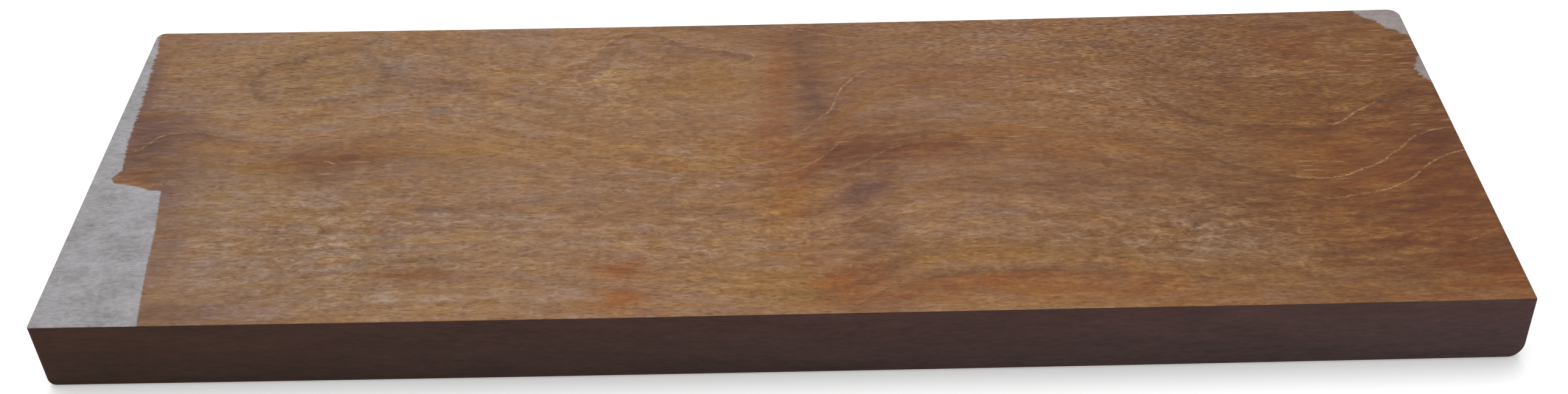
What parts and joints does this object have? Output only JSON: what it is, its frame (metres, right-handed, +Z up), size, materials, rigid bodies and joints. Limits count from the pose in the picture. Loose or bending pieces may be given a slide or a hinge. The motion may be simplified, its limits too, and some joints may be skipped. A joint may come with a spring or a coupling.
{
  "type": "mahogany billet",
  "caption": "Solid mahogany board sawn to length and planed flat, lying on its underside, with eased edges and a lightly oiled top face.",
  "frame": {"origin": "middle of the bounding box, on the surface that the board rests on", "axes": "+X along the grain to the right end, +Y across the board to its back edge, +Z up through the thickness"},
  "size_m": [0.5086, 0.1786, 0.0275],
  "materials": {
    "mahogany": "planed and sanded mahogany, one coat of oil on most of the top face, raw at the left end and the back right corner"
  },
  "bodies": {
    "root": {"billet": "mahogany"}
  },
  "joints": []
}
